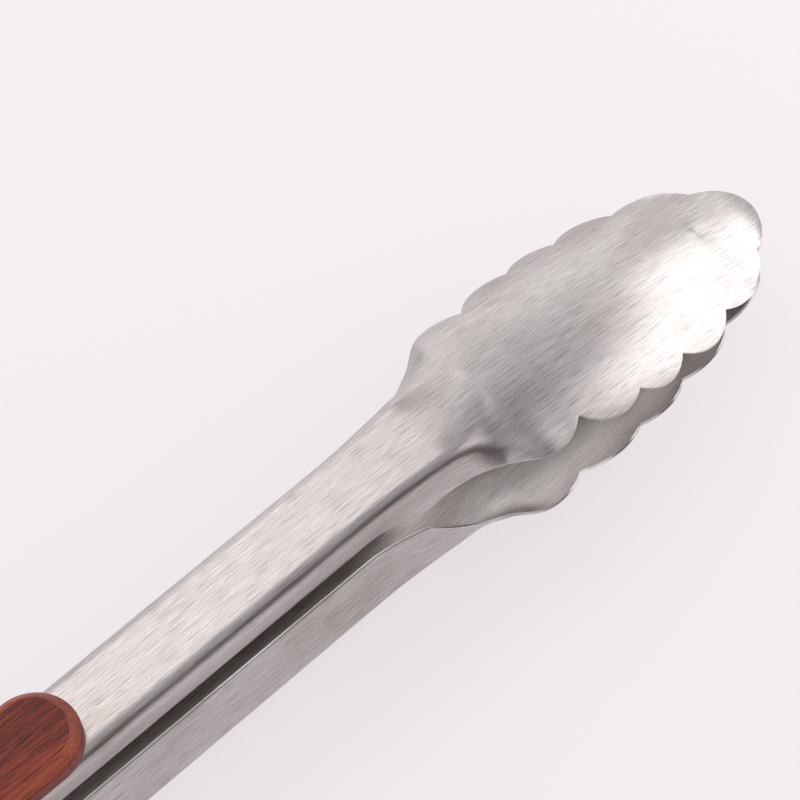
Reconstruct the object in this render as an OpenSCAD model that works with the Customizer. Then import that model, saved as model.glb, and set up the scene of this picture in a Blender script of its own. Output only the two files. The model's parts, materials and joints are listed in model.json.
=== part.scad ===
// Spring loaded kitchen tongs, closed and locked. Millimetres.
// +X runs along the tongs towards the heads, +Y across them, +Z up.
// The origin is on the surface that the tongs lie on, under the middle of their length.

/* [Arms] */
// Distance from the hinge pin to the tips of the heads
hinge_to_tip = 273; // [265:1:290]
// Thickness of the two closed arms, over the outer faces of their webs
closed_h = 37; // [36.5:0.1:38]
// Thickness of the steel sheet
sheet_t = 0.8; // [0.7:0.05:0.9]
// Width of the channel over its sharp corners
channel_w = 20.3; // [20:0.1:21]
// Outer radius of the bend between web and flange
bend_r = 3.05; // [2.5:0.05:3.5]
// Half of the gap between the free edges of an arm's two flanges
flange_edge_y = 5.9; // [5.5:0.1:7]
// Height of a flange's free edge over the middle plane
flange_edge_z = 3.9; // [3:0.1:4.5]

/* [Head] */
// Largest radius of the dish across the head
dish_r = 34; // [33:0.5:40]
// How far the head's crown has dropped at the last pair of notches
crown_drop = 15.6; // [15:0.1:15.8]
// Radius of the lobe at the tip
tip_lobe_r = 10.9; // [10.5:0.1:11.2]
// Length of the tip lobe, from the last pair of notches
tip_lobe_len = 7.7; // [7.4:0.1:8]
// Radius of the shoulder lobe, next to the neck
shoulder_r = 11.3; // [11:0.1:11.5]

/* [Tail] */
// Radius of the ears around the hinge pin
ear_r = 7; // [6.5:0.1:7.5]
// Gap between an inner ear and the outer ear beside it
ear_gap = 0.3; // [0.2:0.05:0.4]
// Length of the arm behind the hinge pin
tail_len = 10; // [9:0.5:11]
// Angle that the arms open to
open_deg = 28; // [10:1:28]

/* [Grips] */
// Width of a wooden grip
grip_w = 19.8; // [18:0.1:20]
// Thickness of a wooden grip
grip_t = 6; // [5:0.1:7]
// Distance from the tips to the front end of the grips
tip_to_grip = 189.5; // [186:0.5:195]
// Distance from the hinge pin forward to the grips' rear end
grip_rear_u = -6; // [-8:0.5:0]
// Width of the bevel around a grip's outer face
grip_bevel = 2.3; // [1.5:0.1:2.6]
// Distance from a grip's front end to its front rivet
front_rivet_inset = 25; // [18:0.5:30]
// Distance from a grip's rear end to its rear rivet
rear_rivet_inset = 22; // [18:0.5:26]
// Radius of a rivet's head
rivet_head_r = 3.2; // [2.8:0.1:3.6]
// Radius of a rivet's shank
rivet_r = 1.5; // [1.3:0.1:1.7]

/* [Hinge] */
// Radius of the hinge pin
pin_r = 2; // [1.8:0.1:2.2]
// Radial clearance of the hinge pin in the ears
pin_fit = 0.06; // [0.03:0.01:0.1]
// Radius of the spacer tube around the pin
spacer_r = 3.2; // [3:0.1:3.3]
// Diameter of the spring's wire
wire_d = 1.4; // [1.2:0.1:1.5]
// Radius of the spring's coil, to the middle of the wire
coil_r = 4.5; // [4.4:0.05:4.6]
// Whole turns in the spring
coil_turns = 5; // [4:1:5]
// Slope of the spring's legs
leg_deg = 27; // [24:1:28]

/* [Lock] */
// Travel of the lock slide
lock_travel = 8; // [6:0.5:8]
// Distance from the hinge pin back to the middle of the pull eye
eye_back = 24; // [23:0.5:26]
// Radius of the hole in the pull eye
eye_hole_r = 4.5; // [4:0.1:5]
// Outer radius of the pull eye
eye_r = 8; // [7.5:0.1:8.5]
// Thickness of the lock slide's sheet
lock_t = 1; // [0.8:0.1:1.2]

/* [Hidden] */
$fn = 48;

half_h = closed_h / 2;
mid_z = half_h + grip_t;
length = hinge_to_tip + eye_back + eye_r;
tip_x = length / 2;
hinge_x = tip_x - hinge_to_tip;
// the last pair of notches, which is where the head's own x is 0
notch_x = tip_x - tip_lobe_len;
hinge_at = hinge_x - notch_x;

// Notches between the lobes, from the neck to the tip: place along the head and half width there
notches = [[-61.3, 18.1], [-45.9, 20.5], [-32.5, 19.8], [-17.1, 17.5], [0, 10.2]];
// How far each lobe between two notches stands out past the line between them
bulges = [2.9, 2.6, 3.1, 3.6];
head_start = -90;
flare_start = -110;
flare_len = 30;
flare_y = 9.7;
flare_power = 1.5;
taper_start = -96.4;
taper_len = 15.4;
taper_z = 7.2;
shoulder_at = [-69, 9.5];
shoulder_blend = [-80, -75];
dish_blend = [-80, -65];
// Where the corner between web and flange runs out into the free edge, how close it comes to it,
// and where the channel fades into the dish
crease_start = -98;
crease_len = 25;
LAST_CREASE = 0.97;
crease_fade = [-91, -73];
tip_slope = 0.07;
tip_gap = 0.05;
tip_flat = 0.3;

// Ears: the outer one stands flush with the channel's side, the inner one fits inside its neighbour
outer_ear_y = 10;
inner_ear_y = outer_ear_y - sheet_t - ear_gap;
ear_flank_deg = 60;
ear_zone = 14;
ear_blend = 44;
WEB_STEPS = 2;
BEND_STEPS = 5;
// How far a cutter runs past the faces that it cuts, and how far a joined solid runs into the next
past = 1;

// A smooth step from 0 at a to 1 at b
function clamp01(v) = min(max(v, 0), 1);
function ease(v) = v * v * (3 - 2 * v);
function step(x, a, b) = ease(clamp01((x - a) / (b - a)));
// A maximum with a rounded corner
function smooth_max(a, b, soft) = (a + b + sqrt((a - b) * (a - b) + soft * soft)) / 2;

// Height of the web, then of the head's crown line, over the middle plane
crown_slope = -2 * crown_drop / head_start;
function crown(x) =
    x < head_start ? half_h
    : x < 0 ? half_h - crown_drop * pow((x - head_start) / head_start, 2)
    : half_h - crown_drop - crown_slope * x
        + (crown_slope - tip_slope) * x * x / (2 * tip_lobe_len);

// Outer edge of a lobe: an arc over the chord a to b that stands out by h
function lobe_y(x, a, b, h) =
    let (c = norm(b - a), r = (c * c / 4 + h * h) / (2 * h), n = [a.y - b.y, b.x - a.x] / c)
    let (m = (a + b) / 2 - n * (r - h))
    m.y + sqrt(max(r * r - (x - m.x) * (x - m.x), 0));

function notch_after(x, k = 0) = k == 4 || x < notches[k + 1].x ? k : notch_after(x, k + 1);

// Half width and its slope, where the channel opens towards the head
function flare(x) =
    let (far = max(x - flare_start, 0) / flare_len)
    [flange_edge_y + flare_y * pow(far, flare_power),
     flare_y * flare_power * pow(far, flare_power - 1) / flare_len];
// Half width and its slope, on the lobe next to the neck
function shoulder(x) =
    let (d = x - shoulder_at.x, h = sqrt(shoulder_r * shoulder_r - d * d))
    [shoulder_at.y + h, -d / h];
// A curve from a to b that keeps the height and slope of both ends, where t runs from 0 to 1
function joined(a, b, w, t) =
    (1 - ease(t)) * a[0] + ease(t) * b[0] + w * t * (1 - t) * (a[1] * (1 - t) - b[1] * t);

// Half width of the sheet's free edge
function edge_y(x) =
    let (start = shoulder_blend[0], end = shoulder_blend[1])
    x < start ? flare(x)[0]
    : x < end ? joined(flare(start), shoulder(end), end - start, (x - start) / (end - start))
    : x < notches[0].x ? shoulder(x)[0]
    : x < 0 ? let (k = notch_after(x)) lobe_y(x, notches[k], notches[k + 1], bulges[k])
    : sqrt(max(pow(tip_lobe_r, 2) - pow(x - tip_lobe_len + tip_lobe_r, 2), pow(tip_flat, 2)));

function dish_z(x) = crown(x) - dish_r + sqrt(pow(dish_r, 2) - pow(edge_y(x), 2));

// Height of the sheet's free edge over the middle plane, between tail and head
function edge_z(x) =
    x < taper_start ? flange_edge_z
    : let (neck = flange_edge_z + taper_z * (1 - pow(1 - clamp01((x - taper_start) / taper_len), 2)))
      let (w = step(x, dish_blend[0], dish_blend[1]))
      (1 - w) * neck + w * dish_z(x);

// Height of a flange's free edge around the hinge, u in front of the pin
function ear_z(u) =
    let (ue = ear_r * sin(ear_flank_deg))
    abs(u) < ue ? -sqrt(ear_r * ear_r - u * u)
    : min(flange_edge_z, -ear_r * cos(ear_flank_deg) + tan(ear_flank_deg) * (abs(u) - ue));

// The largest share of web or flange that a bend may take, and the drop from which a web is curved
MOST_BEND = 0.97;
LEAST_DROP = 0.001;

// The two ends of half a section, as [y, z]: the corner between web and flange, and the free edge
function tail_ends(u, ear_y) =
    let (w = step(u, ear_zone, ear_blend))
    [
        [(1 - w) * ear_y + w * channel_w / 2, half_h],
        [(1 - w) * ear_y + w * flange_edge_y, u < ear_zone ? ear_z(u) : flange_edge_z]
    ];
function head_ends(x) =
    let (e = [edge_y(x), edge_z(x)], out = clamp01((x - crease_start) / crease_len))
    let (wy = LAST_CREASE * pow(out, 3), wz = LAST_CREASE * pow(out, 4))
    [[(1 - wy) * channel_w / 2 + wy * e.x, (1 - wz) * crown(x) + wz * e.y], e];

// A point of an arc that starts at p with slope a0 and has turned to slope a: [y, z, slope, distance]
function turned(p, r, a0, a) =
    [p[0] + r * (sin(a) - sin(a0)), p[1] - r * (cos(a0) - cos(a)), a, p[3] + r * (a - a0) * PI / 180];

// Half of the outer section at x, from the middle of the web to the free edge, as [y, z, lean],
// where lean is the angle of the surface's normal from upright. Along the neck the channel's web,
// bend and flange fade into one arc across the head between the same two ends.
function half_section(x, side) =
    let (u = x - hinge_at, top = crown(x))
    let (ends = u < ear_blend ? tail_ends(u, side > 0 ? outer_ear_y : inner_ear_y) : head_ends(x))
    let (v = ends[0], e = ends[1], drop = top - v.y, flat = drop < LEAST_DROP)
    let (flange = norm(e - v), slope = atan2(v.y - e.y, e.x - v.x))
    let (wish = bend_r * tan((slope - 2 * atan(drop / v.x)) / 2))
    let (reach = min(wish, MOST_BEND * min(v.x, flange)))
    let (level = (v.x * v.x + drop * drop - reach * reach) / (2 * (v.x + reach)))
    let (lean = flat ? 0 : atan2(drop, v.x - level), web_r = flat ? 0 : level / tan(lean / 2))
    let (middle = [0, top, 0, 0], level_end = [v.x - reach, top, 0, v.x - reach])
    let (p = flat ? level_end : turned(middle, web_r, 0, lean))
    let (r = reach / tan((slope - lean) / 2), whole = turned(p, r, lean, slope)[3] + flange - reach)
    let (channel = concat(
        [for (i = [0:WEB_STEPS - 1]) let (k = i / WEB_STEPS)
            flat ? (1 - k) * middle + k * level_end : turned(middle, web_r, 0, lean * k)],
        [for (i = [0:BEND_STEPS]) turned(p, r, lean, lean + (slope - lean) * i / BEND_STEPS)],
        [[e.x, e.y, slope, whole]]
    ))
    let (fall = top - e.y, arc_r = (e.x * e.x + fall * fall) / (2 * fall), arc_turn = 2 * atan(fall / e.x))
    let (arc = arc_r * arc_turn * PI / 180, fade = step(x, crease_fade[0], crease_fade[1]))
    let (keep = 1 - fade, last = len(channel) - 1)
    [for (i = [0:last])
        let (c = channel[i], b = arc_turn * (keep * c[3] / whole + fade * i / last))
        let (q = turned(middle, arc_r, 0, b))
        [
            keep * c[0] + fade * q[0],
            keep * c[1] + fade * q[1],
            atan2(keep * whole * sin(c[2]) + fade * arc * sin(b),
                  keep * whole * cos(c[2]) + fade * arc * cos(b))
        ]];

// Near the tip the sheet is kept clear of the middle plane
lift_start = -40;
lift_soft = 0.3;
function lifted(x, z) = x < lift_start ? z : smooth_max(z, sheet_t + tip_gap, lift_soft);

// The closed ring of points of the sheet at x: outer side from -Y to +Y, then inner side back
function ring(x) =
    let (right = half_section(x, -1), left = half_section(x, 1), n = len(left) - 1)
    let (outer = concat([for (i = [n:-1:1]) [-right[i].x, right[i].y, -right[i].z]], left))
    concat(
        [for (p = outer) [x, p.x, lifted(x, p.y)]],
        [for (i = [2 * n:-1:0]) let (p = outer[i])
            [x, p.x - sheet_t * sin(p.z), lifted(x, p.y) - sheet_t * cos(p.z)]]
    );

// Places along the arm where the sheet's section is worked out
ear_steps = [-10, -8.2, -6.1, -4.6, -3.1, -1.5, 0, 1.5, 3.1, 4.6, 6.1, 8.2, 10.2, 14, 20, 26, 32, 38, 44];
neck_steps = [
    -110, -106, -102, -99, -96.4, -94, -91.5, -89, -86.5, -84, -82, -80, -78.4,
    -76.7, -75, -72, -69, -66, -63.5
];
LOBE_STEPS = 6;
TIP_STEPS = 8;
tip_arc = asin((tip_lobe_r - tip_lobe_len) / tip_lobe_r);
stations = concat(
    [for (u = ear_steps) hinge_at + u * (u < 0 ? -tail_len / ear_steps[0] : 1)],
    neck_steps,
    [for (k = [0:3], i = [0:LOBE_STEPS - 1])
        notches[k].x + (notches[k + 1].x - notches[k].x) * i / LOBE_STEPS],
    [for (i = [0:TIP_STEPS])
        tip_lobe_len - tip_lobe_r
            + tip_lobe_r * sin(tip_arc + (90 - tip_arc) * i / TIP_STEPS)]
);

module sheet() {
    rings = [for (x = stations) ring(x)];
    n = len(rings[0]);
    half = n / 2;
    last = len(rings) - 1;
    points = [for (r = rings, p = r) p];
    walls = [for (s = [0:last - 1], i = [0:n - 1]) let (j = (i + 1) % n, a = s * n)
        [a + i, a + j, a + n + j, a + n + i]];
    ends = [for (s = [0, last], i = [0:half - 2]) let (a = s * n, b = a + n - 1)
        s == 0 ? [a + i, b - i, b - i - 1, a + i + 1] : [a + i, a + i + 1, b - i - 1, b - i]];
    polyhedron(points, concat(walls, ends));
}

// Heights over the middle plane, turned up for the upper side and down for the lower one
module place(side) {
    translate([0, 0, mid_z]) rotate([side > 0 ? 0 : 180, 0, 0]) children();
}
module across(x, z, r, y0, y1) {
    translate([x, y1, z]) rotate([90, 0, 0]) cylinder(r = r, h = y1 - y0);
}

grip_front_x = tip_x - tip_to_grip;
grip_rear_x = hinge_x + grip_rear_u;
rivet_xs = [grip_front_x - front_rivet_inset, grip_rear_x + rear_rivet_inset];
hole_fit = 0.05;

// Guide pin of the lock slide, in the lower arm: place from the hinge pin
guide_u = -4;
guide_z = -12;
guide_r = 1.5;

module arm(side) {
    place(side) difference() {
        translate([notch_x, 0, 0]) sheet();
        across(hinge_x, 0, pin_r + pin_fit, -outer_ear_y - past, outer_ear_y + past);
        for (x = rivet_xs)
            translate([x, 0, half_h - 2 * sheet_t]) cylinder(r = rivet_r + hole_fit, h = 3 * sheet_t);
        if (side < 0) translate([guide_u, 0, -guide_z])
            across(hinge_x, 0, guide_r + hole_fit, -outer_ear_y - past, outer_ear_y + past);
    }
}
module upper_arm() { color("silver") arm(1); }
module lower_arm() { color("silver") arm(-1); }

// A wooden grip: round ends, and a bevel around its outer face
module grip_outline(inset) {
    r = grip_w / 2 - inset;
    ends = [grip_rear_x + grip_w / 2, grip_front_x - grip_w / 2];
    for (x = ends) translate([x, 0]) circle(r = r);
    translate([ends[0], -r]) square([ends[1] - ends[0], 2 * r]);
}
bevel_h = 2.5;
head_h = 1.4;
head_sink = 0.1;
module grip(side) {
    place(side) difference() {
        hull() {
            translate([0, 0, half_h]) linear_extrude(grip_t - bevel_h) grip_outline(0);
            translate([0, 0, half_h]) linear_extrude(grip_t) grip_outline(grip_bevel);
        }
        for (x = rivet_xs) translate([x, 0, half_h]) {
            translate([0, 0, -past]) cylinder(r = rivet_r + hole_fit, h = grip_t + 2 * past);
            translate([0, 0, grip_t - head_h - head_sink])
                cylinder(r = rivet_head_r + hole_fit, h = head_h + past);
        }
    }
}
module upper_grip() { color("saddlebrown") grip(1); }
module lower_grip() { color("saddlebrown") grip(-1); }

// A rivet: flat head sunk in the wood, shank through wood and web, turned over on the burr
burr_t = 0.8;
burr_r = 4;
tail_h = 0.7;
tail_r = 2.4;
tail_end_r = 1.9;
module rivet(side, x) {
    head_z = grip_t - head_sink - head_h;
    burr_z = -sheet_t - burr_t;
    color("darkgoldenrod") place(side) translate([x, 0, half_h]) {
        translate([0, 0, head_z]) cylinder(r = rivet_head_r, h = head_h);
        translate([0, 0, burr_z]) cylinder(r = rivet_r, h = head_z + head_h / 2 - burr_z);
        translate([0, 0, burr_z - tail_h]) cylinder(r1 = tail_end_r, r2 = tail_r, h = tail_h);
    }
}
module burr(side, x) {
    color("goldenrod") place(side) translate([x, 0, half_h - sheet_t - burr_t]) difference() {
        cylinder(r = burr_r, h = burr_t);
        translate([0, 0, -past]) cylinder(r = rivet_r + hole_fit, h = burr_t + 2 * past);
    }
}
module upper_front_rivet() { rivet(1, rivet_xs[0]); }
module upper_rear_rivet() { rivet(1, rivet_xs[1]); }
module lower_front_rivet() { rivet(-1, rivet_xs[0]); }
module lower_rear_rivet() { rivet(-1, rivet_xs[1]); }
module upper_front_burr() { burr(1, rivet_xs[0]); }
module upper_rear_burr() { burr(1, rivet_xs[1]); }
module lower_front_burr() { burr(-1, rivet_xs[0]); }
module lower_rear_burr() { burr(-1, rivet_xs[1]); }

// Hinge: a headed pin from the right, two washers, a domed cap pressed on its left end
end_play = 0.1;
washer_r = 5;
washer_t = 0.6;
washer_y = outer_ear_y + end_play;
head_y = washer_y + washer_t;
pin_head_r = 4;
pin_head_h = 1.6;
pin_in_cap = 0.9;
// A flat-backed dome: a slice of a sphere
module dome(r, h) {
    ball = (r * r + h * h) / (2 * h);
    intersection() {
        translate([0, 0, h - ball]) sphere(r = ball, $fn = 96);
        cylinder(r = r, h = h + past);
    }
}
module hinge_pin() {
    color("gainsboro") {
        across(hinge_x, mid_z, pin_r, -head_y - pin_head_h / 3, head_y + pin_in_cap);
        translate([hinge_x, -head_y, mid_z]) rotate([90, 0, 0]) dome(pin_head_r, pin_head_h);
    }
}
module hinge_pin_cap() {
    color("gainsboro") difference() {
        translate([hinge_x, head_y, mid_z]) rotate([-90, 0, 0]) dome(pin_head_r, pin_head_h);
        across(hinge_x, mid_z, pin_r, head_y - past, head_y + pin_in_cap);
    }
}
module hinge_washer(y0) {
    color("lightgray") difference() {
        across(hinge_x, mid_z, washer_r, y0, y0 + washer_t);
        across(hinge_x, mid_z, pin_r + pin_fit, y0 - past, y0 + washer_t + past);
    }
}
module left_hinge_washer() { hinge_washer(washer_y); }
module right_hinge_washer() { hinge_washer(-washer_y - washer_t); }

spacer_half = inner_ear_y - sheet_t - end_play;
module spacer_tube() {
    color("lightgray") difference() {
        across(hinge_x, mid_z, spacer_r, -spacer_half, spacer_half);
        across(hinge_x, mid_z, pin_r + pin_fit, -spacer_half - past, spacer_half + past);
    }
}

// The spring's wire as a tube along points [x, y, z, slope of the wire in the XZ plane].
// It comes in along the lower leg, winds round the back of the coil and leaves along the upper leg.
turn_gap = 0.08;
leg_gap = 0.05;
pitch = wire_d + turn_gap;
leg_z = half_h - sheet_t - wire_d / 2 - leg_gap;
leg_len = (leg_z - coil_r * cos(leg_deg)) / sin(leg_deg);
sweep = 360 * coil_turns + 180 - 2 * leg_deg;
coil_half = pitch * sweep / 720;
COIL_STEP = 18;
coil_steps = round(sweep / COIL_STEP);
WIRE_SIDES = 8;
function leg_end(side) = [
    -coil_r * sin(leg_deg) + leg_len * cos(leg_deg), -side * coil_half, -side * leg_z,
    180 - side * leg_deg
];
coil_path = [for (i = [0:coil_steps]) let (a = 270 - leg_deg - sweep * i / coil_steps)
    [coil_r * cos(a), -coil_half + 2 * coil_half * i / coil_steps, coil_r * sin(a), a - 90]];
wire_path = concat([leg_end(1)], coil_path, [leg_end(-1)]);
module torsion_spring() {
    last = len(wire_path) - 1;
    points = [for (p = wire_path, k = [0:WIRE_SIDES - 1]) let (a = 360 * k / WIRE_SIDES)
        [p.x + wire_d / 2 * cos(a) * -sin(p[3]), p.y + wire_d / 2 * sin(a),
         p.z + wire_d / 2 * cos(a) * cos(p[3])]];
    walls = [for (s = [0:last - 1], k = [0:WIRE_SIDES - 1])
        let (j = (k + 1) % WIRE_SIDES, a = s * WIRE_SIDES, b = a + WIRE_SIDES)
        [a + k, a + j, b + j, b + k]];
    ends = [[for (k = [WIRE_SIDES - 1:-1:0]) k], [for (k = [0:WIRE_SIDES - 1]) last * WIRE_SIDES + k]];
    color("dimgray") translate([hinge_x, 0, mid_z]) polyhedron(points, concat(walls, ends));
}

// Lock slide: two cheeks beside the coil, a bridge behind it and a pull tongue with an eye.
// u is measured from the hinge pin, with the slide pulled out.
slide_gap = 0.3;
cheek_y = coil_half + wire_d / 2 + slide_gap;
cheek_front_u = 5;
cheek_front_z = 9;
cheek_chamfer = 4;
bridge_top_z = 9;
bridge_gap = 1.2;
bridge_u = -coil_r - wire_d / 2 - lock_travel - bridge_gap;
web_gap = 0.5;
web_z = half_h - sheet_t;
cheek_h = web_z - web_gap;
// Highest that a cheek may be at u, under the upper web as it tips while the slide goes in
OPEN_STEPS = 14;
function cheek_top(u) = min([for (i = [0:OPEN_STEPS]) let (k = i / OPEN_STEPS, a = open_deg * k)
    (u + lock_travel * k) * tan(a) + web_z / cos(a)]) - web_gap;
module slot(u0, u1, z, r) {
    for (u = [u0, u1]) translate([u, z]) circle(r = r);
    translate([u0, z - r]) square([u1 - u0, 2 * r]);
}
module cheek_profile() {
    difference() {
        polygon([
            [cheek_front_u, -cheek_front_z], [cheek_front_u - cheek_chamfer, -cheek_h],
            [bridge_u - lock_t, -cheek_h], [bridge_u - lock_t, bridge_top_z],
            [bridge_u, cheek_top(bridge_u - lock_t)], [-tail_len, cheek_top(-tail_len)],
            [-tail_len / 2, cheek_top(-tail_len / 2)], [0, cheek_top(0)],
            [cheek_front_u, cheek_front_z]
        ]);
        slot(-lock_travel, 0, 0, spacer_r + slide_gap);
        slot(guide_u - lock_travel, guide_u, guide_z, guide_r + slide_gap);
    }
}
tongue_w = 12;
module lock_slide() {
    color("silver") translate([hinge_x, 0, mid_z]) {
        for (y = [-cheek_y - lock_t, cheek_y])
            translate([0, y + lock_t, 0]) rotate([90, 0, 0]) linear_extrude(lock_t) cheek_profile();
        translate([bridge_u - lock_t, -cheek_y - lock_t, -cheek_h])
            cube([lock_t, 2 * cheek_y + 2 * lock_t, cheek_h + bridge_top_z]);
        translate([0, 0, -lock_t / 2]) linear_extrude(lock_t) difference() {
            union() {
                translate([-eye_back, -tongue_w / 2]) square([eye_back + bridge_u, tongue_w]);
                translate([-eye_back, 0]) circle(r = eye_r);
            }
            translate([-eye_back, 0]) circle(r = eye_hole_r);
        }
    }
}
module guide_pin() {
    color("gainsboro")
        across(hinge_x + guide_u, mid_z + guide_z, guide_r, -outer_ear_y, inner_ear_y);
}

upper_arm();
lower_arm();
upper_grip();
lower_grip();
upper_front_rivet();
upper_rear_rivet();
lower_front_rivet();
lower_rear_rivet();
upper_front_burr();
upper_rear_burr();
lower_front_burr();
lower_rear_burr();
hinge_pin();
hinge_pin_cap();
left_hinge_washer();
right_hinge_washer();
spacer_tube();
torsion_spring();
lock_slide();
guide_pin();
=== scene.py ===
# Looks of the locking kitchen tongs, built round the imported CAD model. Metres, in the row frame.
import json
import math

import bmesh
import bpy
import numpy as np
from mathutils import Matrix, Vector


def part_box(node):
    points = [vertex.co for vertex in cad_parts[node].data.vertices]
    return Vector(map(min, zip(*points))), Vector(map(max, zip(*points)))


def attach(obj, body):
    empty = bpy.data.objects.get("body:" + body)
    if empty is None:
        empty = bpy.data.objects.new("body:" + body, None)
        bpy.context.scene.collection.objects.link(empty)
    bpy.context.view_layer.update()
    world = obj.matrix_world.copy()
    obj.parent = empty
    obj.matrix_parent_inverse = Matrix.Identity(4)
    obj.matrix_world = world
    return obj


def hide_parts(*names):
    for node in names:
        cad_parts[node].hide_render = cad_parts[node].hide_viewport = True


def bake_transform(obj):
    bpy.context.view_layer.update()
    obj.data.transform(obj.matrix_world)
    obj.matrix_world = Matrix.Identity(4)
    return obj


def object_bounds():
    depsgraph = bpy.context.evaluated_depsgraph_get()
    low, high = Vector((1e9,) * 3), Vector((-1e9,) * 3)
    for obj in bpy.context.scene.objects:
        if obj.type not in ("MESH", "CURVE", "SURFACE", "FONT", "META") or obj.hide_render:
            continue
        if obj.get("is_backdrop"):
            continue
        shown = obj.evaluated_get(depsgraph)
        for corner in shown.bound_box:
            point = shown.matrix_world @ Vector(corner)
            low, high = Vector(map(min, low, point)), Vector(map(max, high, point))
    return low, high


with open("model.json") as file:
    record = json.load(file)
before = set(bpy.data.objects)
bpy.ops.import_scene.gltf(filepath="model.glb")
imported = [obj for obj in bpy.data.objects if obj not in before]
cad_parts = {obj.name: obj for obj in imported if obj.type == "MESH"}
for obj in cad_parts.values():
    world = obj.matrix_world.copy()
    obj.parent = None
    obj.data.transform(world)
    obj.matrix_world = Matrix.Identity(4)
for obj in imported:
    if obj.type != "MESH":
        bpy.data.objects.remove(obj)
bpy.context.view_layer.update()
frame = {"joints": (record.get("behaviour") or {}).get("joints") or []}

MM = 0.001

# ---------------------------------------------------------------- places taken from the frame
def joint(name):
    return next(j for j in frame["joints"] if j["name"] == name)


HINGE = Vector(joint("arm_open")["pos_m"])
TIP_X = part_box("upper_arm")[1].x
HALF_H = (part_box("upper_arm")[1].z - HINGE.z) / MM
TAIL_U = (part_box("upper_arm")[0].x - HINGE.x) / MM
GRIP_LOW, GRIP_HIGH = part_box("upper_grip")

# ---------------------------------------------------------------- the arms' shape, in millimetres
# x is measured from the last pair of notches towards the tip, u from the hinge pin, z from the middle plane
SHEET_T = 0.8
CHANNEL_Y = 10.15
FLANGE_EDGE = (5.9, 3.9)
BEND_R = 3.05
# the bend takes no more than this share of the web or the flange, and the web is never quite flat
BEND_SHARE = 0.97
LEAST_DROP = 0.002
# (x, y) of the notches on one side, and how far each lobe between them bulges
NOTCHES = ((-61.3, 18.1), (-45.9, 20.5), (-32.5, 19.8), (-17.1, 17.5), (0.0, 10.2))
BULGES = (2.9, 2.6, 3.1, 3.6)
# the head's dish, and how far its crown falls from its start to the last pair of notches
DISH_R = 34
HEAD_START = -90
CROWN_DROP = 15.6
CROWN_SLOPE = -2 * CROWN_DROP / HEAD_START
# the tip lobe: length, radius seen from above, the crown's last slope, and the least half width
TIP_LOBE_LEN = 7.7
TIP_LOBE_R = 10.9
TIP_SLOPE = 0.07
TIP_FLAT = 0.3
# how far the tip stays clear of the middle plane, and where that starts to count
TIP_GAP = 0.05
LIFT_START = -40
LIFT_SOFTNESS = 0.3
# the neck: its half width and its free edge's height grow from these places
FLARE_START = -110
FLARE_LEN = 30
FLARE_WIDTH = 9.7
FLARE_POWER = 1.5
RISE_START = -96.4
RISE_LEN = 15.4
RISE = 7.2
# the lobe next to the neck is part of a circle, seen from above
SHOULDER_X = -69
SHOULDER_Y = 9.5
SHOULDER_R = 11.3
# where the neck's half width goes over into that lobe's, and its edge's height into the dish's
SHOULDER_BLEND = (-80, -75)
DISH_BLEND = (-80, -65)
# the crease between web and flange runs out into the free edge, then fades into one arc
CREASE_START = -98
CREASE_LEN = 25
CREASE_OUT_POWER = 3
CREASE_DOWN_POWER = 4
LAST_CREASE = 0.97
CREASE_FADE = (-91, -73)
# ears round the hinge pin: half widths of the outer and the inner one, radius, and slope of the flanks
OUTER_EAR_Y = 10
INNER_EAR_Y = 8.9
EAR_R = 7
EAR_FLANK = math.radians(60)
# the flange's edge follows the ear up to here, and the channel has its own width from there on
EAR_ZONE = 14
EAR_BLEND = 44
EDGE_ROUND = 0.14
# rows on the rounded cut edge: depth of its centre below the outer face, and directions in degrees
EDGE_ROWS = ((EDGE_ROUND, (60, 30, 0)), (SHEET_T - EDGE_ROUND, (0, -30, -60)))
# two rows close to the cut edge, counted in widths of its rounding, and what the others keep clear
CLOSE_ROWS = (2, 1)
CLEAR_ROWS = 3
# the half width holds at least this many widths of the rounding
ROWS_IN_WIDTH = 6
# a face that looks this much along the arm is one of its two cut ends
END_LEAN = 0.97
# gives each arm its own part of the brushed pattern, in metres
PATTERN_SHIFT = 0.5
# how many steps the web, the bend, the flange and each lobe are made of
WEB_STEPS = 5
BEND_STEPS = 18
FLANGE_STEPS = 5
LOBE_STEPS = 26
# edges that turn by more than this, in degrees, stay sharp
SMOOTH_ANGLE = 38
NOTCH_X = TIP_X - TIP_LOBE_LEN * MM
HINGE_AT = (HINGE.x - NOTCH_X) / MM


def clamp01(v):
    return min(max(v, 0.0), 1.0)


def step(x, a, b):
    v = clamp01((x - a) / (b - a))
    return v * v * (3 - 2 * v)


def mix(a, b, w):
    return (1 - w) * a + w * b


def crown(x):
    """Height of the web, then of the head's crown line."""
    if x < HEAD_START:
        return HALF_H
    if x < 0:
        return HALF_H - CROWN_DROP * ((x - HEAD_START) / HEAD_START) ** 2
    return HALF_H - CROWN_DROP - CROWN_SLOPE * x + (CROWN_SLOPE - TIP_SLOPE) * x * x / (2 * TIP_LOBE_LEN)


def lobe_y(x, a, b, bulge):
    """Outer edge of a lobe: an arc over the chord from notch a to notch b."""
    dx, dy = b[0] - a[0], b[1] - a[1]
    chord = math.hypot(dx, dy)
    r = (chord * chord / 4 + bulge * bulge) / (2 * bulge)
    mx = (a[0] + b[0]) / 2 + dy / chord * (r - bulge)
    my = (a[1] + b[1]) / 2 - dx / chord * (r - bulge)
    return my + math.sqrt(max(r * r - (x - mx) ** 2, 0))


def flare(x):
    """Half width where the channel opens towards the head, and its slope."""
    far = max(x - FLARE_START, 0) / FLARE_LEN
    slope = FLARE_WIDTH * FLARE_POWER * far ** (FLARE_POWER - 1) / FLARE_LEN
    return FLANGE_EDGE[0] + FLARE_WIDTH * far**FLARE_POWER, slope


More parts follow.
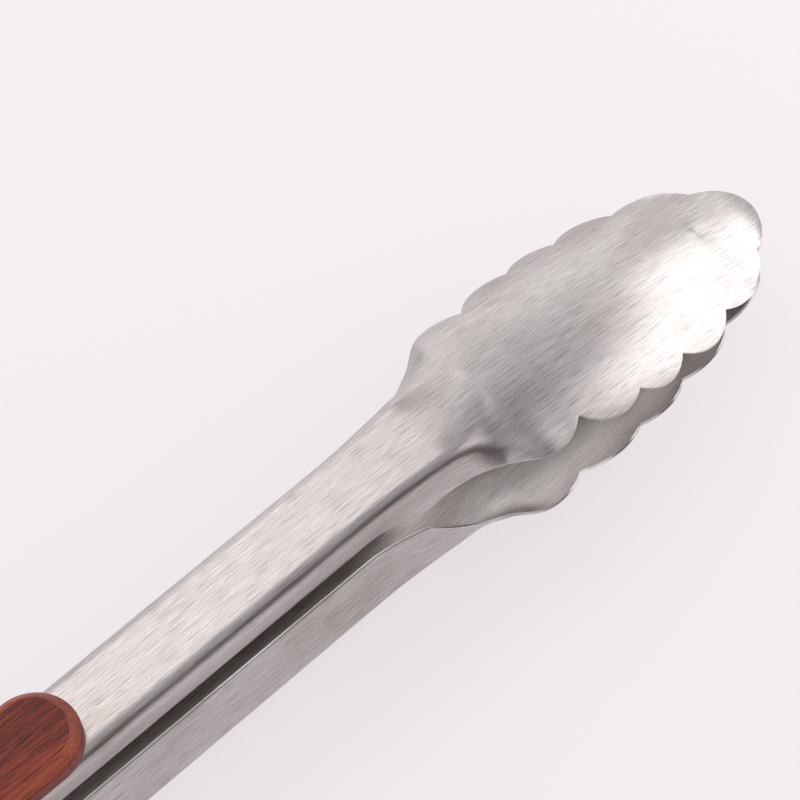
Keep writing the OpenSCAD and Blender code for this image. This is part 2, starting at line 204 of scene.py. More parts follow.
def shoulder(x):
    """Half width of the lobe next to the neck, and its slope."""
    height = math.sqrt(SHOULDER_R**2 - (x - SHOULDER_X) ** 2)
    return SHOULDER_Y + height, -(x - SHOULDER_X) / height


def edge_y(x):
    """Half width of the sheet's free edge."""
    start, end = SHOULDER_BLEND
    if x < start:
        return flare(x)[0]
    if x < end:
        (ya, slope_a), (yb, slope_b) = flare(start), shoulder(end)
        t = (x - start) / (end - start)
        return mix(ya, yb, step(t, 0, 1)) + (end - start) * t * (1 - t) * (slope_a * (1 - t) - slope_b * t)
    if x < NOTCHES[0][0]:
        return shoulder(x)[0]
    if x < 0:
        k = max(i for i in range(len(BULGES)) if NOTCHES[i][0] <= x)
        return lobe_y(x, NOTCHES[k], NOTCHES[k + 1], BULGES[k])
    return math.sqrt(max(TIP_LOBE_R**2 - (x - TIP_LOBE_LEN + TIP_LOBE_R) ** 2, TIP_FLAT**2))


def edge_z(x):
    """Height of the sheet's free edge."""
    neck = FLANGE_EDGE[1] + RISE * (1 - (1 - clamp01((x - RISE_START) / RISE_LEN)) ** 2)
    dish = crown(x) - DISH_R + math.sqrt(DISH_R**2 - edge_y(x) ** 2)
    return mix(neck, dish, step(x, *DISH_BLEND))


def ear_z(u):
    """Height of a flange's free edge round the hinge, u in front of the pin."""
    flank_u = EAR_R * math.sin(EAR_FLANK)
    if abs(u) < flank_u:
        return -math.sqrt(EAR_R**2 - u * u)
    return min(FLANGE_EDGE[1], -EAR_R * math.cos(EAR_FLANK) + math.tan(EAR_FLANK) * (abs(u) - flank_u))


def half_section(x, ear_y):
    """Half of the outer section at x as (y, z, lean), from the middle of the web to the free edge.
    Along the neck the corner between web and flange runs out into the free edge, and beyond it the
    section is one arc across the head."""
    u = x - HINGE_AT
    if u < EAR_BLEND:
        w = step(u, EAR_ZONE, EAR_BLEND)
        ez = ear_z(u) if u < EAR_ZONE else FLANGE_EDGE[1]
        e = (mix(ear_y, FLANGE_EDGE[0], w), ez)
        v = (mix(ear_y, CHANNEL_Y, w), HALF_H)
    else:
        e = (edge_y(x), edge_z(x))
        out = clamp01((x - CREASE_START) / CREASE_LEN)
        v = (mix(CHANNEL_Y, e[0], LAST_CREASE * out**CREASE_OUT_POWER),
             mix(crown(x), e[1], LAST_CREASE * out**CREASE_DOWN_POWER))
    top = crown(x)
    drop = max(top - v[1], LEAST_DROP)
    flange = math.hypot(e[0] - v[0], e[1] - v[1])
    slope = math.atan2(v[1] - e[1], e[0] - v[0])
    reach = min(BEND_R * math.tan((slope - 2 * math.atan(drop / v[0])) / 2), BEND_SHARE * min(v[0], flange))
    level = (v[0] ** 2 + drop**2 - reach**2) / (2 * (v[0] + reach))
    lean = math.atan2(drop, v[0] - level)
    web_r = level / math.tan(lean / 2)
    turn = slope - lean
    r = reach / math.tan(turn / 2)
    channel = [(web_r * math.sin(lean * i / WEB_STEPS), top - web_r * (1 - math.cos(lean * i / WEB_STEPS)),
                lean * i / WEB_STEPS, web_r * lean * i / WEB_STEPS) for i in range(WEB_STEPS)]
    p = (web_r * math.sin(lean), top - web_r * (1 - math.cos(lean)), web_r * lean)
    for i in range(BEND_STEPS + 1):
        a = lean + turn * i / BEND_STEPS
        channel.append((p[0] + r * (math.sin(a) - math.sin(lean)), p[1] - r * (math.cos(lean) - math.cos(a)),
                        a, p[2] + r * (a - lean)))
    start = channel[-1]
    straight = flange - reach
    for i in range(1, FLANGE_STEPS + 1):
        d = straight * i / FLANGE_STEPS
        channel.append((start[0] + d * math.cos(slope), start[1] - d * math.sin(slope), slope, start[3] + d))
    whole = channel[-1][3]
    fall = top - e[1]
    arc_r, arc_turn = (e[0] ** 2 + fall**2) / (2 * fall), 2 * math.atan(fall / e[0])
    arc, fade = arc_r * arc_turn, step(x, *CREASE_FADE)
    # width of the edge's rounding, which is smaller at the very tip
    room = min(EDGE_ROUND, e[0] / ROWS_IN_WIDTH)
    last = len(channel) - 1
    points = []
    for i, (y, z, a, run) in enumerate(channel):
        share = i / last * (1 - CLEAR_ROWS * room / e[0]) if i < last else 1
        b = arc_turn * mix(run / whole, share, fade)
        tilt = math.atan2(mix(whole * math.sin(a), arc * math.sin(b), fade),
                          mix(whole * math.cos(a), arc * math.cos(b), fade))
        points.append((mix(y, arc_r * math.sin(b), fade), mix(z, top - arc_r + arc_r * math.cos(b), fade),
                       tilt))
    y, z, lean = points[-1]
    # two rows close to the cut edge keep the rounding from bending the shading of the face
    points[-1:] = [(y - k * room * math.cos(lean), z + k * room * math.sin(lean), lean) for k in CLOSE_ROWS]
    return points


def lifted(x, z):
    """Near the tip the sheet is kept clear of the middle plane."""
    if x < LIFT_START:
        return z
    low = SHEET_T + TIP_GAP
    return (z + low + math.sqrt((z - low) ** 2 + LIFT_SOFTNESS**2)) / 2


def half_ring(x, ear_y):
    """Outer face, rounded cut edge and inner face of one half of the sheet, as (y, z, 1 on the cut edge,
    way along the sheet from the middle of the web)."""
    rows = [(y, lifted(x, z), lean) for y, z, lean in half_section(x, ear_y)]
    ways = [0.0]
    for (ya, za, _), (yb, zb, _) in zip(rows, rows[1:]):
        ways.append(ways[-1] + math.hypot(yb - ya, zb - za))
    ring = [(y, z, 0.0, way) for (y, z, lean), way in zip(rows, ways)]
    y, z, lean = rows[-1]
    for depth, angles in EDGE_ROWS:
        for a in angles:
            out = EDGE_ROUND * math.cos(math.radians(a))
            up = EDGE_ROUND * math.sin(math.radians(a)) - depth
            ring.append((y + out * math.cos(lean) + up * math.sin(lean),
                         z - out * math.sin(lean) + up * math.cos(lean), 1.0, ways[-1] + out))
    ring += [(y - SHEET_T * math.sin(lean), z - SHEET_T * math.cos(lean), 0.0, way)
             for (y, z, lean), way in zip(rows[::-1], ways[::-1])]
    return ring


def spread(a, b, count):
    return [a + (b - a) * i / count for i in range(count)]


def spread_over(stops):
    """Places along stops of (place, count of steps to the next stop), without the last stop."""
    return [v for (a, count), (b, _) in zip(stops, stops[1:]) for v in spread(a, b, count)]


def arm_stations():
    """Where the arm has sections, from its tail to its tip."""
    flank = EAR_R * math.sin(EAR_FLANK)
    foot = flank + (FLANGE_EDGE[1] + EAR_R * math.cos(EAR_FLANK)) / math.tan(EAR_FLANK)
    tail = spread_over([(TAIL_U, 8), (-flank, 26), (flank, 6), (foot, 5), (EAR_ZONE, 20), (EAR_BLEND, 0)])
    places = [HINGE_AT + u for u in tail]
    places += spread_over([(HINGE_AT + EAR_BLEND, 24), (FLARE_START, 40), (SHOULDER_BLEND[0], 42)]
                          + [(x, LOBE_STEPS) for x, _ in NOTCHES])
    first = math.asin((TIP_LOBE_R - TIP_LOBE_LEN) / TIP_LOBE_R)
    places += [TIP_LOBE_LEN - TIP_LOBE_R + TIP_LOBE_R * math.sin(a)
               for a in spread(first, math.pi / 2, LOBE_STEPS) + [math.pi / 2]]
    return places


def smooth(mesh, angle):
    """Smooth shading, broken at edges that turn by more than the angle in degrees."""
    mesh.polygons.foreach_set("use_smooth", [True] * len(mesh.polygons))
    mesh.set_sharp_from_angle(angle=math.radians(angle))


def linked(name, data):
    """A new object in the scene."""
    thing = bpy.data.objects.new(name, data)
    bpy.context.scene.collection.objects.link(thing)
    return thing


def new_object(name, mesh):
    piece = linked(name, mesh)
    smooth(mesh, SMOOTH_ANGLE)
    return piece


ROD_SIDES = 64
# points closer than this, in metres, are one point
WELD = 1e-8


def rod(centre, axis, radius, length):
    """A plain cylinder, used only to cut round holes."""
    mesh = bpy.data.meshes.new("rod")
    bm = bmesh.new()
    bmesh.ops.create_cone(bm, cap_ends=True, segments=ROD_SIDES, radius1=radius, radius2=radius, depth=length)
    bm.to_mesh(mesh)
    bm.free()
    piece = linked("rod", mesh)
    piece.matrix_world = Matrix.Translation(centre) @ axis.to_track_quat("Z", "Y").to_matrix().to_4x4()
    return piece


def turned(side):
    """Carries points that are drawn over the middle plane to the upper or the lower half."""
    return Matrix.Translation((0, 0, HINGE.z)) @ Matrix.Rotation(0 if side > 0 else math.pi, 4, "X")


def closed_mesh(name, points, faces, weld=False):
    """A mesh from points and faces, with its faces turned outwards."""
    mesh = bpy.data.meshes.new(name)
    mesh.from_pydata([tuple(p) for p in points], [], faces)
    bm = bmesh.new()
    bm.from_mesh(mesh)
    if weld:
        bmesh.ops.remove_doubles(bm, verts=bm.verts, dist=WELD)
    bmesh.ops.recalc_face_normals(bm, faces=bm.faces)
    bm.to_mesh(mesh)
    bm.free()
    return mesh


def mark_points(mesh, name, pairs):
    """A UV map from each point's pair of values. It stays with the points when holes are cut."""
    uv = mesh.uv_layers.new(name=name)
    for loop in mesh.loops:
        uv.data[loop.index].uv = pairs[loop.vertex_index]


def arm(name, side):
    """One arm: the whole pressed sheet, from the ears round the hinge pin to the scalloped head."""
    points, cut, flat, faces = [], [], [], []
    stations = arm_stations()
    for x in stations:
        left, right = half_ring(x, OUTER_EAR_Y), half_ring(x, INNER_EAR_Y)
        half = len(left)
        ring = left + [(-y, z, mark, -way) for y, z, mark, way in right[half - 2:0:-1]]
        points += [(x * MM, y * MM, z * MM) for y, z, mark, way in ring]
        cut += [(mark, 0) for y, z, mark, way in ring]
        flat += [(x * MM, way * MM + side * PATTERN_SHIFT) for y, z, mark, way in ring]
    n = len(ring)
    for a in range(0, (len(stations) - 1) * n, n):
        faces += [(a + i, a + (i + 1) % n, a + n + (i + 1) % n, a + n + i) for i in range(n)]
    for a in (0, (len(stations) - 1) * n):
        for i in range(half // 2 - 1):
            quad = (i, i + 1, half - 2 - i, half - 1 - i)
            faces += [tuple(a + k for k in quad), tuple(a + (n - k) % n for k in quad)]
    mesh = closed_mesh(name, points, faces)
    mark_points(mesh, "cut_edge", cut)
    for face in mesh.polygons:
        if abs(face.normal.x) > END_LEAN:
            for loop in face.loop_indices:
                mesh.uv_layers["cut_edge"].data[loop].uv = (1, 0)
    mark_points(mesh, "sheet", flat)
    mesh.transform(turned(side) @ Matrix.Translation((NOTCH_X, 0, 0)))
    return new_object(name, mesh)


# ---------------------------------------------------------------- turned, swept and cut shapes
# the most of a side that one rounded corner may take
TRIM_SHARE = 0.45
LATHE_SIDES = 80
SLOT_END_STEPS = 28


def rounded(line, radius, closed=False, steps=4):
    """A line of (a, b) points with its corners rounded."""
    points = [Vector(p) for p in line]
    count = len(points)
    out = [] if closed else [points[0]]
    for i in range(count) if closed else range(1, count - 1):
        before, corner, after = points[i - 1], points[i], points[(i + 1) % count]
        back, on = before - corner, after - corner
        trim = min(radius, TRIM_SHARE * back.length, TRIM_SHARE * on.length)
        p, q = corner + back.normalized() * trim, corner + on.normalized() * trim
        for t in (k / steps for k in range(steps + 1)):
            out.append(p * (1 - t) ** 2 + corner * (2 * t * (1 - t)) + q * t**2)
    return out if closed else out + [points[-1]]


def lathe(name, line, place, ring=False):
    """Turns a line of (radius, height) in millimetres round the local Z axis of place. The line of a ring
    is closed and keeps away from the axis."""
    points, faces = [], []
    for r, h in line:
        for k in range(LATHE_SIDES):
            a = 2 * math.pi * k / LATHE_SIDES
            points.append((r * math.cos(a) * MM, r * math.sin(a) * MM, h * MM))
    rows = len(line)
    for i in range(rows if ring else rows - 1):
        a, b = i * LATHE_SIDES, (i + 1) % rows * LATHE_SIDES
        for k in range(LATHE_SIDES):
            j = (k + 1) % LATHE_SIDES
            faces.append((a + k, a + j, b + j, b + k))
    mesh = closed_mesh(name, points, faces, weld=True)
    mesh.transform(place)
    return new_object(name, mesh)


def prism(name, outline, low, high, axis="Z"):
    """An outline in millimetres round the hinge pin, (u, y) pushed along Z or (u, z) pushed along Y."""
    points = []
    for level in (low, high):
        points += [(a, b, level) if axis == "Z" else (a, level, b) for a, b in outline]
    n = len(outline)
    faces = [(i, (i + 1) % n, n + (i + 1) % n, n + i) for i in range(n)]
    faces += [tuple(range(n)), tuple(range(2 * n - 1, n - 1, -1))]
    return linked(name, closed_mesh(name, [Vector(p) * MM + HINGE for p in points], faces))


def apply_modifiers(piece):
    graph = bpy.context.evaluated_depsgraph_get()
    mesh = bpy.data.meshes.new_from_object(piece.evaluated_get(graph), depsgraph=graph)
    piece.modifiers.clear()
    mesh.name = piece.name
    piece.data = mesh


def combine(piece, others, operation):
    """Adds, cuts or intersects the piece with others, for good, and removes the others."""
    for other in others:
        modifier = piece.modifiers.new(operation, "BOOLEAN")
        modifier.object, modifier.solver, modifier.operation = other, "EXACT", operation
    apply_modifiers(piece)
    for other in others:
        bpy.data.objects.remove(other)


def soften(piece, width, sharper_than):
    """Rounds the edges of a finished piece that turn by more than the angle in degrees."""
    modifier = piece.modifiers.new("round", "BEVEL")
    modifier.width, modifier.segments, modifier.limit_method = width, 3, "ANGLE"
    modifier.angle_limit = math.radians(sharper_than)
    apply_modifiers(piece)
    smooth(piece.data, SMOOTH_ANGLE)


def stadium(u0, u1, z, r):
    """Outline of a slot with round ends."""
    turns = np.linspace(0, math.pi, SLOT_END_STEPS)
    right = [(u1 + r * math.sin(a), z - r * math.cos(a)) for a in turns]
    left = [(u0 - r * math.sin(a), z + r * math.cos(a)) for a in turns]
    return right + left


def settle(piece, body, slot, *nodes):
    """The piece rides on a body, takes a finish and stands for CAD nodes."""
    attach(piece, body)
    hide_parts(*nodes)
    piece.data.materials.clear()
    piece.data.materials.append(MATERIALS[slot])


# ---------------------------------------------------------------- materials
# scales are grains to the metre, and the places on a ramp are values of a noise
def tree_of(name):
    material = bpy.data.materials.new(name)
    material.use_nodes = True
    tree = material.node_tree
    return material, tree, tree.nodes["Principled BSDF"]


def noise(tree, vector, detail, rough, distortion=0.0):
    node = tree.nodes.new("ShaderNodeTexNoise")
    node.inputs["Scale"].default_value = 1
    node.inputs["Detail"].default_value = detail
    node.inputs["Roughness"].default_value = rough
    node.inputs["Distortion"].default_value = distortion
    tree.links.new(vector, node.inputs["Vector"])
    return node.outputs["Fac"]


def stretched(tree, source, scale, turn=(0, 0, 0)):
    """Coordinates turned by the angles in degrees, then multiplied along each axis."""
    turned_by = tree.nodes.new("ShaderNodeMapping")
    turned_by.inputs["Rotation"].default_value = [math.radians(a) for a in turn]
    node = tree.nodes.new("ShaderNodeMapping")
    node.inputs["Scale"].default_value = scale
    tree.links.new(source, turned_by.inputs["Vector"])
    tree.links.new(turned_by.outputs["Vector"], node.inputs["Vector"])
    return node.outputs["Vector"]


def ramp(tree, value, stops):
    """Maps a value to colours or greys given as (place, colour)."""
    node = tree.nodes.new("ShaderNodeValToRGB")
    elements = node.color_ramp.elements
    while len(elements) < len(stops):
        elements.new(0.5)
    for element, (place, colour) in zip(elements, stops):
        element.position = place
        element.color = (*colour, 1) if hasattr(colour, "__len__") else (colour,) * 3 + (1,)
    tree.links.new(value, node.inputs["Fac"])
    return node.outputs["Color"]


def blend_colours(tree, mode, factor, first, second):
    node = tree.nodes.new("ShaderNodeMix")
    node.data_type, node.blend_type = "RGBA", mode
    for value, socket in ((factor, node.inputs[0]), (first, node.inputs[6]), (second, node.inputs[7])):
        if hasattr(value, "is_output"):
            tree.links.new(value, socket)
        else:
            socket.default_value = value
    return node.outputs[2]


def sum_of(tree, base, *terms):
    """base plus weight times (value - 0.5) for each (weight, value)."""
    total = base - sum(weight for weight, _ in terms) / 2
    for weight, value in terms:
        node = tree.nodes.new("ShaderNodeMath")
        node.operation = "MULTIPLY_ADD"
        tree.links.new(value, node.inputs[0])
        node.inputs[1].default_value = weight
        if hasattr(total, "is_output"):
            tree.links.new(total, node.inputs[2])
        else:
            node.inputs[2].default_value = total
        total = node.outputs[0]
    return total


def bump(tree, shader, height, strength, distance):
    node = tree.nodes.new("ShaderNodeBump")
    node.inputs["Strength"].default_value = strength
    node.inputs["Distance"].default_value = distance
    tree.links.new(height, node.inputs["Height"])
    tree.links.new(node.outputs["Normal"], shader.inputs["Normal"])


def object_place(tree):
    return tree.nodes.new("ShaderNodeTexCoord").outputs["Object"]


def map_place(tree, name):
    """The pair of values that the piece's UV map of this name gives to the surface."""
    node = tree.nodes.new("ShaderNodeUVMap")
    node.uv_map = name
    return node.outputs["UV"]


def marked(tree, name):
    """The first value of that pair."""
    split = tree.nodes.new("ShaderNodeSeparateXYZ")
    tree.links.new(map_place(tree, name), split.inputs["Vector"])
    return split.outputs["X"]


def brushed_steel(name, colour, rough, along=(1, 0, 0), anisotropy=0.6, contrast=1.0, pressed=False):
    """Stainless sheet, brushed along one axis: fine streaks, broad smudges and a few short scratches.
    A pressed sheet was brushed while it was flat, so its pattern follows the sheet."""
    material, tree, shader = tree_of(name)
    place = map_place(tree, "sheet") if pressed else object_place(tree)

    def grain(coarse, fine):
        return [coarse if a else fine for a in along]

    fine = noise(tree, stretched(tree, place, grain(190, 6200)), 2, 0.5)
    streak = noise(tree, stretched(tree, place, grain(95, 3900)), 3, 0.55)
    smudge = noise(tree, stretched(tree, place, grain(30, 85)), 2, 0.5, 0.4)
    dark = [c * (1 - 0.17 * contrast) for c in colour]
    light = [min(c * (1 + 0.15 * contrast), 1) for c in colour]
    base = ramp(tree, streak, [(0.34, dark), (0.5, colour), (0.66, light)])
    tint = ramp(tree, smudge, [(0.34, (0.83, 0.81, 0.795)), (0.5, (0.955, 0.95, 0.945)), (0.66, (1, 1, 1))])
    base = blend_colours(tree, "MULTIPLY", 1.0, base, tint)
    thin = ramp(tree, fine, [(0.34, 1 - 0.36 * contrast), (0.5, 0.95), (0.66, 1.0)])
    base = blend_colours(tree, "MULTIPLY", 1.0, base, thin)
    # bright and dull scratches, each kind at its own angle
    for scale, angle, start, shade in (((130, 4200, 4200), 24, 0.765, (0.86, 0.86, 0.86, 1)),
                                       ((210, 3600, 3600), -50, 0.75, (0.42, 0.41, 0.41, 1))):
        nick = noise(tree, stretched(tree, place, scale, (0, 0, angle)), 1, 0.5)
        shown = ramp(tree, nick, [(start, 0.0), (start + 0.025, 1.0)])
        base = blend_colours(tree, "MIX", shown, base, shade)
    roughness = sum_of(tree, rough, (0.05, streak), (0.1, smudge))
    if pressed:
        # the cut edge is painted brighter than the face: partly the sheared edge's own finish, partly a
        # painted highlight
        edge = ramp(tree, smudge, [(0.4, (0.6, 0.575, 0.56)), (0.6, (0.93, 0.905, 0.89))])
        base = blend_colours(tree, "MIX", marked(tree, "cut_edge"), base, edge)
    tree.links.new(base, shader.inputs["Base Color"])
    shader.inputs["Metallic"].default_value = 1
    shader.inputs["Anisotropic"].default_value = anisotropy
    tree.links.new(roughness, shader.inputs["Roughness"])
    tangent = tree.nodes.new("ShaderNodeTangent")
    tangent.direction_type = "RADIAL"
    tangent.axis = "XYZ"[list(along).index(1)]
    tree.links.new(tangent.outputs["Tangent"], shader.inputs["Tangent"])
    bump(tree, shader, sum_of(tree, 0.5, (0.7, fine), (1.0, streak)), 0.16, 0.00006)
    return material


def turned_steel(name, colour, rough):
    """Turned and polished steel: faint rings round the hinge's axis and a fine haze."""
    material, tree, shader = tree_of(name)
    place = object_place(tree)
    ring = noise(tree, stretched(tree, place, (900, 5200, 900)), 3, 0.6)
    haze = noise(tree, stretched(tree, place, (420, 420, 420)), 4, 0.6)
    base = ramp(tree, ring, [(0.3, [0.84 * c for c in colour]), (0.6, colour)])
    tree.links.new(base, shader.inputs["Base Color"])
    shader.inputs["Metallic"].default_value = 1
    tree.links.new(sum_of(tree, rough, (0.14, ring), (0.2, haze)), shader.inputs["Roughness"])
    bump(tree, shader, sum_of(tree, 0.5, (0.5, ring), (0.5, haze)), 0.12, 0.00004)
    return material


def wood(name):
    """Oiled reddish hardwood with straight grain along X: figure, fibres and dark pores."""
    material, tree, shader = tree_of(name)
    place = object_place(tree)
    figure = noise(tree, stretched(tree, place, (9, 130, 190)), 4, 0.55, 0.9)
    fibre = noise(tree, stretched(tree, place, (110, 2700, 2700)), 4, 0.7)
    pores = noise(tree, stretched(tree, place, (170, 3900, 3900), (0, 0, 1.5)), 2, 0.5)
    ribbon = noise(tree, stretched(tree, place, (7, 90, 90)), 2, 0.5)
    base = ramp(tree, figure, [(0.3, (0.105, 0.015, 0.010)), (0.45, (0.185, 0.028, 0.017)),
                               (0.56, (0.245, 0.042, 0.023)), (0.72, (0.38, 0.088, 0.036))])
    lines = ramp(tree, fibre, [(0.36, (0.40, 0.34, 0.34)), (0.5, (0.95, 0.93, 0.92)),
                               (0.64, (1.32, 1.32, 1.26))])
    base = blend_colours(tree, "MULTIPLY", 1.0, base, lines)
    glow = ramp(tree, ribbon, [(0.4, (0.74, 0.70, 0.7)), (0.6, (1.2, 1.2, 1.15))])
    base = blend_colours(tree, "MULTIPLY", 0.9, base, glow)
    pore = ramp(tree, pores, [(0.58, 0.0), (0.65, 1.0)])
    base = blend_colours(tree, "MIX", pore, base, (0.022, 0.006, 0.006, 1))
    # the marked bevel is painted a patchy lighter brown: partly worn wood, partly painted light
    patchy = ramp(tree, ribbon, [(0.35, 0.06), (0.65, 0.42)])
    bevel_wear_and_light = blend_colours(tree, "MIX", patchy, base, (0.46, 0.125, 0.058, 1))
    base = blend_colours(tree, "MIX", marked(tree, "bevel"), base, bevel_wear_and_light)
    tree.links.new(base, shader.inputs["Base Color"])
    tree.links.new(sum_of(tree, 0.5, (0.25, fibre), (0.12, pores)), shader.inputs["Roughness"])
    shader.inputs["Specular IOR Level"].default_value = 0.3
    bump(tree, shader, sum_of(tree, 0.5, (0.8, fibre), (-0.7, pores)), 0.4, 0.00012)
    return material


MATERIALS = {
    "arm_steel": brushed_steel("arm_steel", (0.612, 0.575, 0.562), 0.33, contrast=0.95, pressed=True),
    "grip_wood": wood("grip_wood"),
    "rivet_steel": brushed_steel("rivet_steel", (0.62, 0.61, 0.59), 0.34, anisotropy=0.35, contrast=0.8),
    "pin_steel": turned_steel("pin_steel", (0.66, 0.66, 0.665), 0.22),
    "spring_steel": turned_steel("spring_steel", (0.36, 0.355, 0.36), 0.34),
    "lock_steel": brushed_steel("lock_steel", (0.60, 0.60, 0.60), 0.36, along=(0, 1, 0), anisotropy=0.3,
                                contrast=0.7),
}

# ---------------------------------------------------------------- arms
PIN_FIT_R = 2.06
HOLE_FIT = 0.05
# length in metres of the rods that cut through both flanges
RIGHT_ACROSS = 0.03
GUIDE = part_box("guide_pin")
GUIDE_AT = (GUIDE[0] + GUIDE[1]) / 2
GUIDE_R = (GUIDE[1].x - GUIDE[0].x) / 2
ALONG_Y = Vector((0, 1, 0))
ALONG_Z = Vector((0, 0, 1))
for half, side in (("upper", 1), ("lower", -1)):
    piece = arm(f"{half}_arm_sheet", side)
    holes = [rod(HINGE, ALONG_Y, PIN_FIT_R * MM, RIGHT_ACROSS)]
    if side < 0:
        holes.append(rod(GUIDE_AT, ALONG_Y, GUIDE_R + HOLE_FIT * MM, RIGHT_ACROSS))
    combine(piece, holes, "DIFFERENCE")
    smooth(piece.data, SMOOTH_ANGLE)
    settle(piece, f"{half}_half", "arm_steel", f"{half}_arm")

# ---------------------------------------------------------------- wooden grips
BEVEL_W = 2.3
BEVEL_H = 2.5
BEVEL_ROUND = 0.7
# a row of points this far inside the bevel, and the small slant next to the steel
INNER_ROW = 1.2
FOOT = 0.25
# hand wear of the bevel: share of the inset, waves round the end, and phase
WEAR = ((0.05, 3, 0.6), (0.03, 7, 0))
# the bevel is painted a lighter brown, partly worn wood and partly painted light, on this part of its width
# and this far above the steel
WEAR_AND_LIGHT_FROM = 0.1
WEAR_AND_LIGHT_TO = 0.97
WEAR_AND_LIGHT_ABOVE = 1
GRIP_SMOOTH_ANGLE = 32
GRIP_R = (GRIP_HIGH.y - GRIP_LOW.y) / 2 / MM
GRIP_T = (GRIP_HIGH.z - GRIP_LOW.z) / MM
END_STEPS = 44


def grip(name, side):
    """A wooden scale with round ends and a hand-finished bevel round its outer face."""
    base, top = HALF_H, HALF_H + GRIP_T
    line = [(FOOT, base), (0, base + FOOT), (0, top - BEVEL_H), (BEVEL_W, top), (BEVEL_W + INNER_ROW, top)]
    profile = [line[0]] + rounded(line[1:], BEVEL_ROUND, steps=6)
    rear, front = GRIP_LOW.x / MM + GRIP_R, GRIP_HIGH.x / MM - GRIP_R
    points, slanted = [], []
    for inset, z in profile:
        for k in range(2 * END_STEPS):
            at_front = k < END_STEPS
            a = -math.pi / 2 + math.pi * (k if at_front else k - END_STEPS) / (END_STEPS - 1)
            a += 0 if at_front else math.pi
            r = GRIP_R - inset * sum((share * math.sin(waves * a + phase) for share, waves, phase in WEAR), 1)
            points.append(((front if at_front else rear) + r * math.cos(a), r * math.sin(a), z))
            # marks where the bevel is painted lighter: partly worn wood, partly painted light
            bevel_wear_and_light = WEAR_AND_LIGHT_FROM * BEVEL_W < inset < WEAR_AND_LIGHT_TO * BEVEL_W and z > base + WEAR_AND_LIGHT_ABOVE
            slanted.append((float(bevel_wear_and_light), 0))
    n = 2 * END_STEPS
    faces = []
    for row in range(len(profile) - 1):
        a = row * n
        faces += [(a + k, a + (k + 1) % n, a + n + (k + 1) % n, a + n + k) for k in range(n)]
    for a in (0, (len(profile) - 1) * n):
        for first in (0, END_STEPS):
            for k in range(END_STEPS // 2 - 1):
                b = first + END_STEPS - 1 - k
                faces.append((a + first + k, a + first + k + 1, a + b - 1, a + b))
        faces.append((a, a + END_STEPS - 1, a + END_STEPS, a + n - 1))
    mesh = closed_mesh(name, [Vector(p) * MM for p in points], faces)
    mark_points(mesh, "bevel", slanted)
    mesh.transform(turned(side))
    return new_object(name, mesh)


def centre(node):
    low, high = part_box(node)
    return (low + high) / 2


def radius_along_x(node):
    """Half of a node's length along X, in millimetres."""
    low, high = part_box(node)
    return (high.x - low.x) / 2 / MM


RIVET_R = 1.5
RIVET_ROUND = 0.25
HEAD_R = radius_along_x("upper_front_rivet")
HEAD_H = 1.4
HEAD_SINK = 0.1
# the head's slight dome: height of its middle, then share of the radius and height of a second place
DOMED = 0.06
DOMED_SHARE = 0.55
DOMED_OUT = 0.045
# the head's rim is broken by a small slant
RIM_IN = 0.25
RIM_DOWN = 0.12
BURR_T = 0.8
BURR_R = radius_along_x("upper_front_burr")
BURR_ROUND = 0.16
PEEN_R = 2.4
PEEN_H = 0.7
PEEN_SLANT = 0.5


def rivet_place(x, side):
    """Local Z out of the grip, from the outer face of the web."""
    return turned(side) @ Matrix.Translation((x, 0, HALF_H * MM))


def rivet(name, x, side):
    top = GRIP_T - HEAD_SINK
    under = -SHEET_T - BURR_T
    dome = [(0, top + DOMED), (HEAD_R * DOMED_SHARE, top + DOMED_OUT)]
    rim = [(HEAD_R - RIM_IN, top), (HEAD_R, top - RIM_DOWN), (HEAD_R, top - HEAD_H), (RIVET_R, top - HEAD_H)]
    peen = [(RIVET_R, under), (PEEN_R, under), (PEEN_R - PEEN_SLANT, under - PEEN_H), (0, under - PEEN_H)]
    return lathe(name, rounded(dome + rim + peen, RIVET_ROUND), rivet_place(x, side))


def washer_line(inner, outer, low, high, radius):
    """Outline of a ring's cut face, with its corners rounded."""
    return rounded([(inner, low), (outer, low), (outer, high), (inner, high)], radius, closed=True)


for half, side in (("upper", 1), ("lower", -1)):
    body = f"{half}_half"
    scale = grip(f"{half}_wood_grip", side)
    cutters = []
    for end in ("front", "rear"):
        x = centre(f"{half}_{end}_rivet").x
        mid = HINGE + Vector((x - HINGE.x, 0, side * (HALF_H + GRIP_T) * MM))
        cutters.append(rod(mid, ALONG_Z, (HEAD_R + HOLE_FIT) * MM, 2 * (HEAD_H + HEAD_SINK) * MM))
        cutters.append(rod(mid, ALONG_Z, (RIVET_R + HOLE_FIT) * MM, 3 * GRIP_T * MM))
        piece = rivet(f"{half}_{end}_rivet_turned", x, side)
        settle(piece, body, "rivet_steel", f"{half}_{end}_rivet")
        line = washer_line(RIVET_R + HOLE_FIT, BURR_R, -SHEET_T - BURR_T, -SHEET_T, BURR_ROUND)
        piece = lathe(f"{half}_{end}_burr_ring", line, rivet_place(x, side), ring=True)
        settle(piece, body, "rivet_steel", f"{half}_{end}_burr")
    combine(scale, cutters, "DIFFERENCE")
    smooth(scale.data, GRIP_SMOOTH_ANGLE)
    settle(scale, body, "grip_wood", f"{half}_grip")

# ---------------------------------------------------------------- hinge
PIN_R = 2.0
WASHER_T = 0.6
WASHER_R = 5.0
WASHER_ROUND = 0.14
HEAD_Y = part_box("left_hinge_washer")[1].y / MM
DOME_R = 4.0
DOME_H = 1.6
DOME_STEPS = 12
